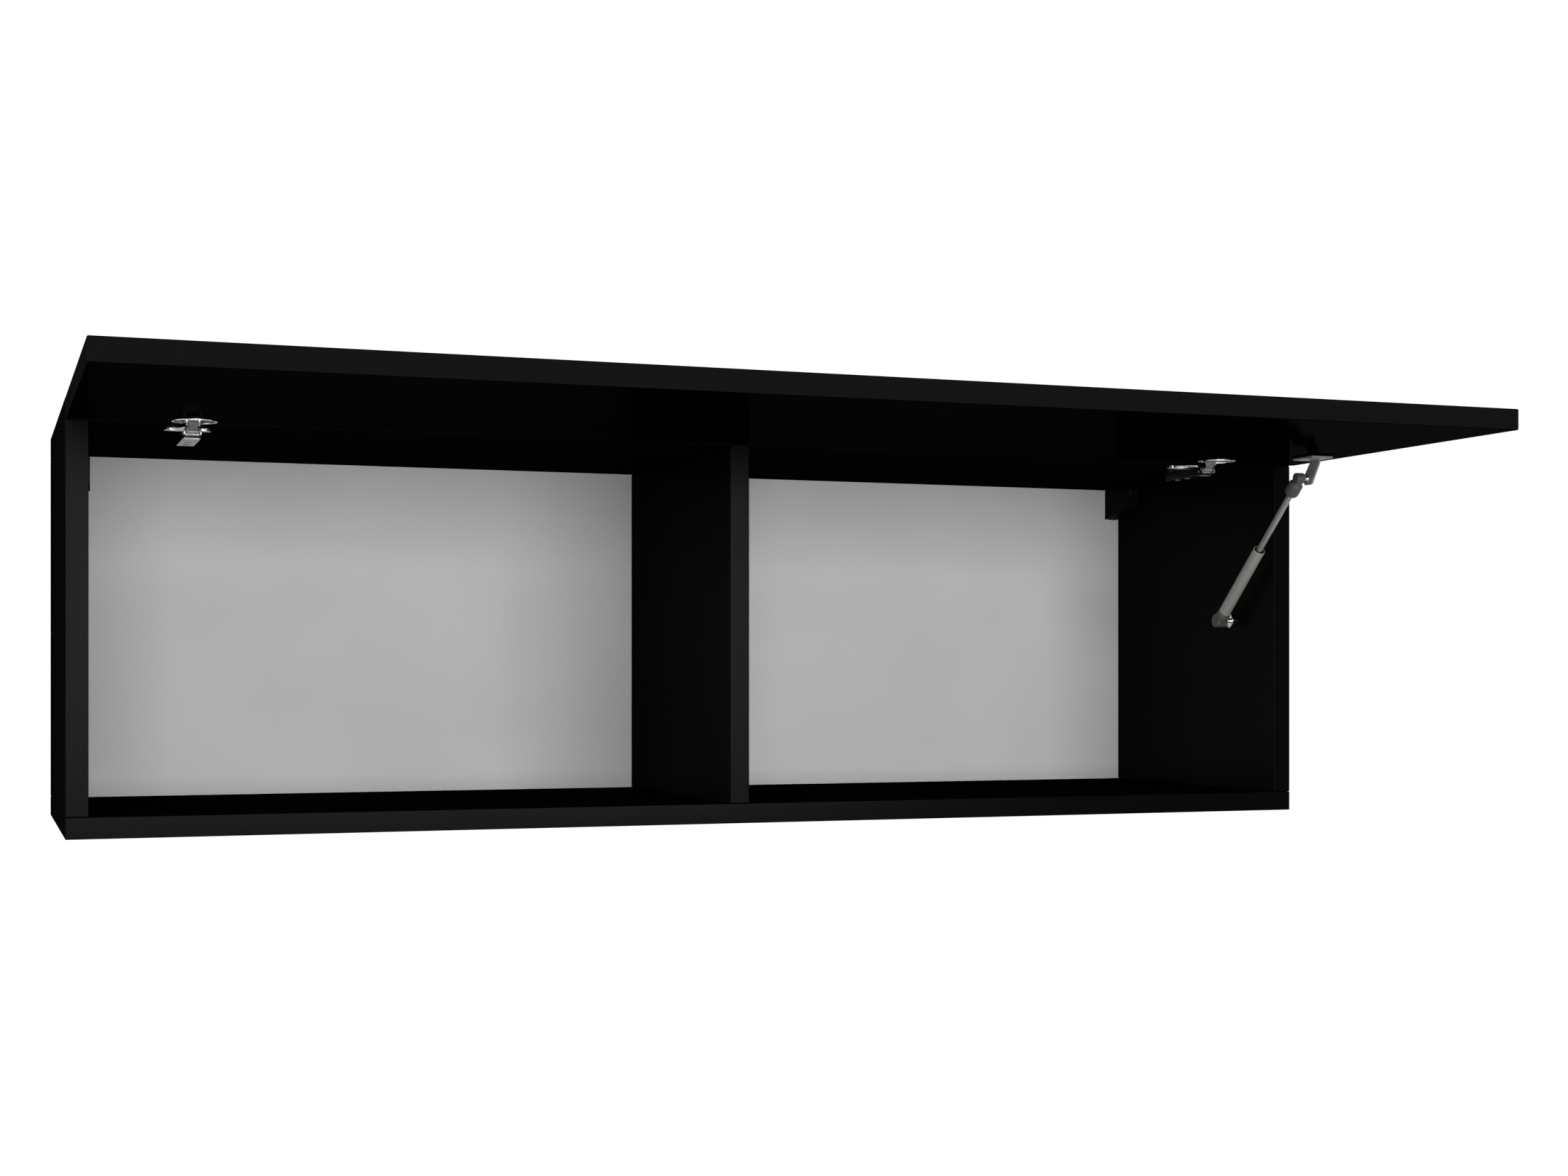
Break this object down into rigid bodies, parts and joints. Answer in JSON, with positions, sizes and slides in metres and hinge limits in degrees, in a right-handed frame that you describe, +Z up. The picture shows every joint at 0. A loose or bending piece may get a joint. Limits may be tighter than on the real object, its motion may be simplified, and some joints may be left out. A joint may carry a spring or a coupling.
{
  "type": "lift up wall cabinet",
  "caption": "Wide wall cabinet in black board with a divider, a light back panel and a full width door that hinges at its top edge and lifts level on a gas strut.",
  "frame": {"origin": "middle of the top panel's rear edge, on the wall plane", "axes": "+X to the right along the width, +Y into the wall, +Z up; the door is drawn lifted level, towards -Y"},
  "size_m": [1.15, 0.7265, 0.36],
  "materials": {
    "black_board": "fine satin black laminate on board",
    "gloss_door": "high gloss black lacquer on board",
    "back_board": "matt light grey foil on thin fibreboard",
    "nickel_steel": "bright nickel plated sheet steel",
    "zinc_steel": "satin zinc plated steel",
    "strut_tube": "satin warm grey lacquer on steel tube",
    "rod_chrome": "ground and chromed rod",
    "dark_plastic": "moulded dark grey plastic",
    "hanger_plastic": "moulded black plastic",
    "black_steel": "black oxide on steel"
  },
  "bodies": {
    "cabinet": {"top_panel": "black_board", "bottom_panel": "black_board", "left_side_panel": "black_board", "right_side_panel": "black_board", "middle_divider": "black_board", "back_panel": "back_board", "joining_screw_bottom_left_side_front": "zinc_steel", "joining_screw_bottom_left_side_rear": "zinc_steel", "joining_screw_bottom_divider_front": "zinc_steel", "joining_screw_bottom_divider_rear": "zinc_steel", "joining_screw_bottom_right_side_front": "zinc_steel", "joining_screw_bottom_right_side_rear": "zinc_steel", "joining_screw_top_left_side_front": "zinc_steel", "joining_screw_top_left_side_rear": "zinc_steel", "joining_screw_top_divider_front": "zinc_steel", "joining_screw_top_divider_rear": "zinc_steel", "joining_screw_top_right_side_front": "zinc_steel", "joining_screw_top_right_side_rear": "zinc_steel", "hinge_left_mounting_plate": "nickel_steel", "hinge_left_arm": "nickel_steel", "hinge_left_outer_link_pin": "zinc_steel", "hinge_left_inner_link_pin": "zinc_steel", "hinge_left_plate_screw_1": "zinc_steel", "hinge_left_plate_screw_2": "zinc_steel", "hinge_right_mounting_plate": "nickel_steel", "hinge_right_arm": "nickel_steel", "hinge_right_outer_link_pin": "zinc_steel", "hinge_right_inner_link_pin": "zinc_steel", "hinge_right_plate_screw_1": "zinc_steel", "hinge_right_plate_screw_2": "zinc_steel", "strut_lower_ball_stud": "nickel_steel", "hanger_left_housing": "hanger_plastic", "hanger_left_adjusting_screw": "black_steel", "hanger_right_housing": "hanger_plastic", "hanger_right_adjusting_screw": "black_steel"},
    "door": {"door_panel": "gloss_door", "hinge_left_cup": "nickel_steel", "hinge_right_cup": "nickel_steel", "strut_door_bracket": "zinc_steel", "strut_bracket_screw_1": "zinc_steel", "strut_bracket_screw_2": "zinc_steel"},
    "left_outer_link": {"hinge_left_outer_link": "nickel_steel"},
    "left_inner_link": {"hinge_left_inner_link": "nickel_steel"},
    "right_outer_link": {"hinge_right_outer_link": "nickel_steel"},
    "right_inner_link": {"hinge_right_inner_link": "nickel_steel"},
    "strut_tube": {"strut_lower_socket": "dark_plastic", "strut_cylinder": "strut_tube"},
    "strut_rod": {"strut_piston_rod": "rod_chrome", "strut_upper_socket": "dark_plastic", "strut_upper_ball_stud": "nickel_steel"},
    "left_hook": {"hanger_left_hook": "zinc_steel"},
    "right_hook": {"hanger_right_hook": "zinc_steel"}
  },
  "joints": [
    {"name": "door_hinge", "type": "hinge", "parent": "cabinet", "child": "door", "pos_m": [0, -0.37325, 0.00225], "axis": [1, 0, 0], "range_deg": [0, 90]},
    {"name": "left_outer_link_pivot", "type": "hinge", "parent": "cabinet", "child": "left_outer_link", "pos_m": [-0.4765, -0.36458, -0.01797], "axis": [1, 0, 0], "range_deg": [-38.7, 0]},
    {"name": "left_inner_link_pivot", "type": "hinge", "parent": "cabinet", "child": "left_inner_link", "pos_m": [-0.4765, -0.36907, -0.01628], "axis": [1, 0, 0], "range_deg": [-71.5, 0]},
    {"name": "right_outer_link_pivot", "type": "hinge", "parent": "cabinet", "child": "right_outer_link", "pos_m": [0.4765, -0.36458, -0.01797], "axis": [1, 0, 0], "range_deg": [-38.7, 0]},
    {"name": "right_inner_link_pivot", "type": "hinge", "parent": "cabinet", "child": "right_inner_link", "pos_m": [0.4765, -0.36907, -0.01628], "axis": [1, 0, 0], "range_deg": [-71.5, 0]},
    {"name": "strut_swing", "type": "hinge", "parent": "cabinet", "child": "strut_tube", "pos_m": [0.544, -0.276, -0.161], "axis": [1, 0, 0], "range_deg": [-16.7, 0]},
    {"name": "strut_slide", "type": "slide", "parent": "strut_tube", "child": "strut_rod", "axis": [0, -0.7513, 0.66], "range_m": [-0.07496, 0]},
    {"name": "left_hook_height", "type": "slide", "parent": "cabinet", "child": "left_hook", "axis": [0, 0, 1], "range_m": [-0.004, 0.004]},
    {"name": "right_hook_height", "type": "slide", "parent": "cabinet", "child": "right_hook", "axis": [0, 0, 1], "range_m": [-0.004, 0.004]}
  ],
  "couplings": [
    {"joint": "left_outer_link_pivot", "follows": "door_hinge", "ratio": -0.42943},
    {"joint": "left_inner_link_pivot", "follows": "door_hinge", "ratio": -0.79344},
    {"joint": "right_outer_link_pivot", "follows": "door_hinge", "ratio": -0.42943},
    {"joint": "right_inner_link_pivot", "follows": "door_hinge", "ratio": -0.79344},
    {"joint": "strut_swing", "follows": "door_hinge", "ratio": -0.18511},
    {"joint": "strut_slide", "follows": "door_hinge", "m_per_rad": -0.047716}
  ]
}
